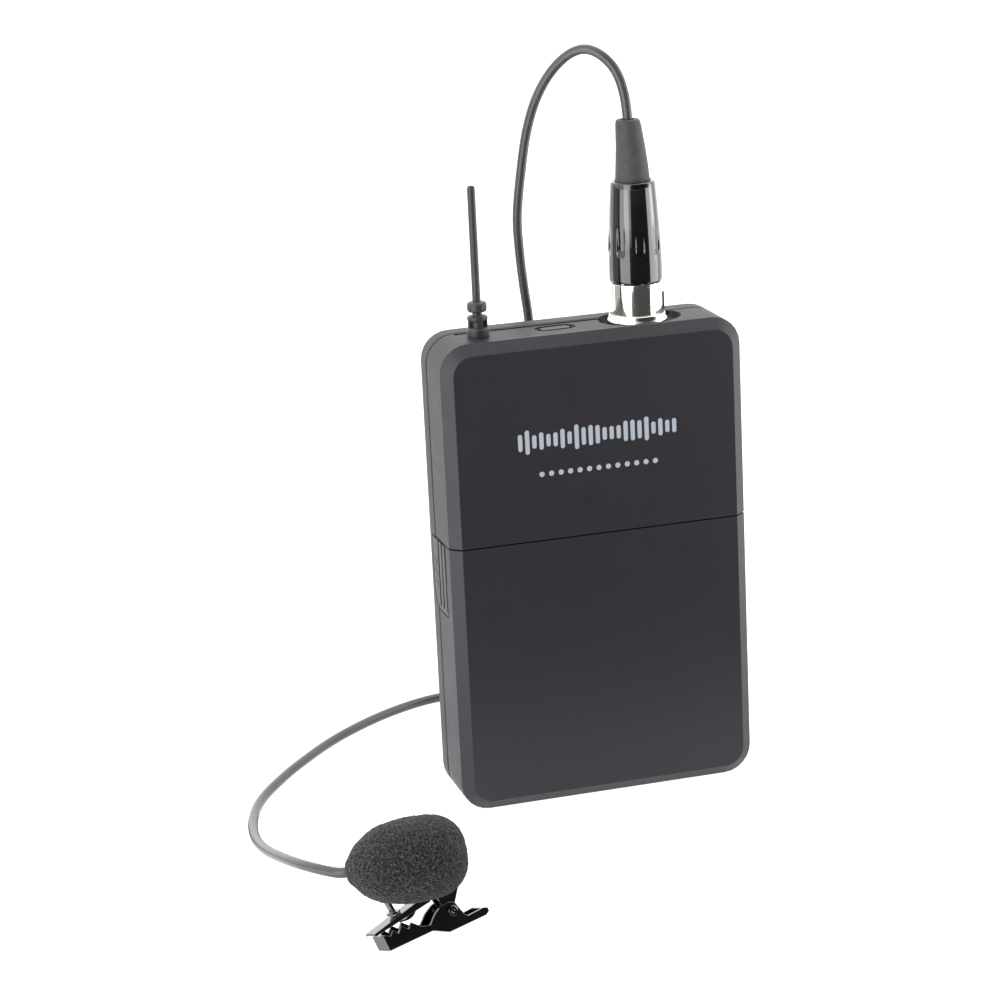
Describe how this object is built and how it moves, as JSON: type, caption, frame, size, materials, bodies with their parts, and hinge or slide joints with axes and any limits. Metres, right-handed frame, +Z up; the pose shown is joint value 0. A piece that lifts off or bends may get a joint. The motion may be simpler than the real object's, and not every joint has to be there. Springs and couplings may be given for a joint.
{
  "type": "lavalier microphone",
  "caption": "Bodypack transmitter with a drop-down battery door and whip antenna, joined by a plug-in cord to a small tie-clip microphone in a foam windscreen",
  "frame": {"origin": "centre of the pack's flat bottom face, on the surface it stands on", "axes": "+X is the pack's right side seen from the front, +Y its back, where the belt clip is, and +Z up; the front panel faces -Y"},
  "size_m": [0.1097, 0.136, 0.1529],
  "materials": {
    "case_dark": "moulded dark grey case, fine satin grain",
    "trim_rubber": "black flexible trim, matte",
    "insulator_black": "black insulating plastic",
    "sleeve_gloss": "polished black plug sleeve",
    "shell_nickel": "bright warm nickel plate",
    "spring_steel": "plain bright steel",
    "clip_black": "black plated metal, semi-gloss",
    "contact_brass": "gold-plated contact",
    "board_green": "green circuit laminate",
    "cell_jacket": "plain dark battery jacket",
    "foam_charcoal": "open-cell charcoal foam",
    "cord_black": "black cord jacket"
  },
  "bodies": {
    "pack": {"front_shell": "case_dark", "rear_shell": "case_dark", "top_plate": "case_dark", "case_screw_1": "spring_steel", "case_screw_2": "spring_steel", "case_screw_3": "spring_steel", "case_screw_4": "spring_steel", "hinge_pin_left": "spring_steel", "hinge_pin_right": "spring_steel", "tact_switch": "insulator_black", "belt_clip_pin": "spring_steel", "belt_clip_spring": "spring_steel", "battery_cell_left": "cell_jacket", "battery_cell_right": "cell_jacket", "contact_bridge": "spring_steel", "contact_plate_left": "spring_steel", "contact_plate_right": "spring_steel", "contact_spring_lower": "spring_steel", "contact_spring_upper": "spring_steel", "circuit_board": "board_green", "rf_shield": "spring_steel", "antenna_socket": "contact_brass", "antenna_barrel": "trim_rubber", "antenna_collar": "trim_rubber", "antenna_whip": "trim_rubber", "socket_shell": "shell_nickel", "socket_nut": "shell_nickel", "socket_insulator": "insulator_black", "socket_pin_1": "contact_brass", "socket_pin_2": "contact_brass", "socket_pin_3": "contact_brass", "plug_shell": "shell_nickel", "plug_insert": "insulator_black", "plug_sleeve": "sleeve_gloss", "plug_boot": "trim_rubber", "cord_from_plug": "cord_black", "cord_coil": "cord_black", "coil_tie": "trim_rubber", "cord_to_mic": "cord_black", "mic_strain_relief": "trim_rubber", "mic_body": "clip_black", "mic_capsule": "spring_steel", "mic_grille": "clip_black", "windscreen": "foam_charcoal", "mic_holder": "spring_steel"},
    "door": {"battery_door": "case_dark", "latch_spring_left": "spring_steel", "latch_spring_right": "spring_steel"},
    "left_latch": {"latch_tab_left": "case_dark"},
    "right_latch": {"latch_tab_right": "case_dark"},
    "power_key": {"power_button": "case_dark"},
    "belt_lever": {"belt_clip": "case_dark"},
    "plug_catch": {"plug_latch": "shell_nickel"},
    "tie_clip_arm": {"clip_lever": "clip_black", "holder_stud": "spring_steel", "clip_rivet": "spring_steel", "clip_spring": "spring_steel"},
    "tie_clip_jaw": {"clip_jaw": "clip_black"}
  },
  "joints": [
    {"name": "door_hinge", "type": "hinge", "parent": "pack", "child": "door", "pos_m": [0, 0.0019, 0.0015], "axis": [1, 0, 0], "range_deg": [0, 100]},
    {"name": "left_latch_press", "type": "slide", "parent": "door", "child": "left_latch", "axis": [1, 0, 0], "range_m": [0, 0.001], "stiffness_N_per_m": 600, "springref_m": -0.0008, "deforming": ["latch_spring_left"]},
    {"name": "right_latch_press", "type": "slide", "parent": "door", "child": "right_latch", "axis": [-1, 0, 0], "range_m": [0, 0.001], "stiffness_N_per_m": 600, "springref_m": -0.0008, "deforming": ["latch_spring_right"]},
    {"name": "power_press", "type": "slide", "parent": "pack", "child": "power_key", "axis": [0, 0, -1], "range_m": [0, 0.0005], "stiffness_N_per_m": 800, "springref_m": -0.0005},
    {"name": "belt_clip_squeeze", "type": "hinge", "parent": "pack", "child": "belt_lever", "pos_m": [0, 0.0122, 0.074], "axis": [1, 0, 0], "range_deg": [0, 7], "stiffness_Nm_per_rad": 0.6, "springref_deg": -8.59},
    {"name": "plug_catch_press", "type": "slide", "parent": "pack", "child": "plug_catch", "axis": [-1, 0, 0], "range_m": [0, 0.0005], "stiffness_N_per_m": 600, "springref_m": -0.0005},
    {"name": "tie_clip_swivel", "type": "hinge", "parent": "pack", "child": "tie_clip_arm", "pos_m": [-0.06107, -0.06696, 0.00629], "axis": [-0.2079, 0.2493, 0.9458], "range_deg": [0, 90]},
    {"name": "tie_clip_jaw_open", "type": "hinge", "parent": "tie_clip_arm", "child": "tie_clip_jaw", "pos_m": [-0.05032, -0.0637, 0.00438], "axis": [0.3263, -0.8939, 0.3073], "range_deg": [0, 25], "stiffness_Nm_per_rad": 0.05, "springref_deg": -17.19}
  ]
}
